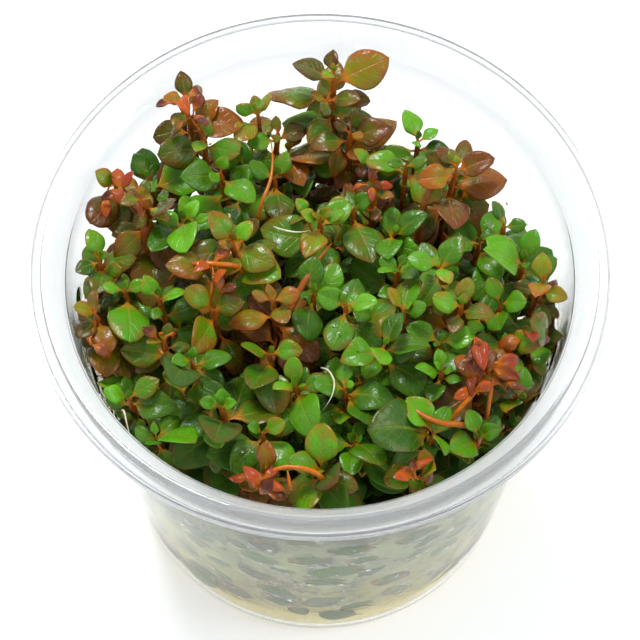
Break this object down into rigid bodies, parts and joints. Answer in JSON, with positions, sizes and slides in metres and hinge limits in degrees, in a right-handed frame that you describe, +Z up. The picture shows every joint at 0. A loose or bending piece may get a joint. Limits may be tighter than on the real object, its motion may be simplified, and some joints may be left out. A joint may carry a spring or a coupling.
{
  "type": "tissue culture aquarium plants in a cup",
  "caption": "Open clear round cup with a stepped rim and gel at its foot, crowded with upright ludwigia plantlets whose small oval leaves run from green to red.",
  "frame": {"origin": "middle of the cup's flat underside", "axes": "+Z up out of the cup's mouth, +Y away from the side that the picture is taken from, +X to the picture's right"},
  "size_m": [0.1, 0.1, 0.092],
  "materials": {
    "cup": "clear, glossy",
    "gel": "moist, slightly cloudy",
    "leaf_green": "smooth, semi-gloss",
    "leaf_mixed": "smooth, semi-gloss",
    "leaf_red": "smooth, semi-gloss"
  },
  "bodies": {
    "root": {"cup": "cup", "gel": "gel", "plantlet_01": "leaf_red", "plantlet_02": "leaf_red", "plantlet_03": "leaf_red", "plantlet_04": "leaf_red", "plantlet_05": "leaf_red", "plantlet_06": "leaf_green", "plantlet_07": "leaf_green", "plantlet_08": "leaf_mixed", "plantlet_09": "leaf_mixed", "plantlet_10": "leaf_red", "plantlet_11": "leaf_mixed", "plantlet_12": "leaf_mixed", "plantlet_13": "leaf_red", "plantlet_14": "leaf_red", "plantlet_15": "leaf_red", "plantlet_16": "leaf_green", "plantlet_17": "leaf_red", "plantlet_18": "leaf_mixed", "plantlet_19": "leaf_mixed", "plantlet_20": "leaf_red", "plantlet_21": "leaf_mixed", "plantlet_22": "leaf_green", "plantlet_23": "leaf_red", "plantlet_24": "leaf_mixed", "plantlet_25": "leaf_green", "plantlet_26": "leaf_green", "plantlet_27": "leaf_red", "plantlet_28": "leaf_mixed", "plantlet_29": "leaf_red", "plantlet_30": "leaf_green", "plantlet_31": "leaf_mixed", "plantlet_32": "leaf_mixed", "plantlet_33": "leaf_red", "plantlet_34": "leaf_mixed", "plantlet_35": "leaf_mixed", "plantlet_36": "leaf_green", "plantlet_37": "leaf_mixed", "plantlet_38": "leaf_mixed", "plantlet_39": "leaf_mixed", "plantlet_40": "leaf_mixed", "plantlet_41": "leaf_mixed", "plantlet_42": "leaf_red", "plantlet_43": "leaf_green", "plantlet_44": "leaf_mixed", "plantlet_45": "leaf_mixed", "plantlet_46": "leaf_mixed", "plantlet_47": "leaf_mixed", "plantlet_48": "leaf_green", "plantlet_49": "leaf_green", "plantlet_50": "leaf_green", "plantlet_51": "leaf_green", "plantlet_52": "leaf_green", "plantlet_53": "leaf_green", "plantlet_54": "leaf_red", "plantlet_55": "leaf_green", "plantlet_56": "leaf_green", "plantlet_57": "leaf_mixed"}
  },
  "joints": []
}
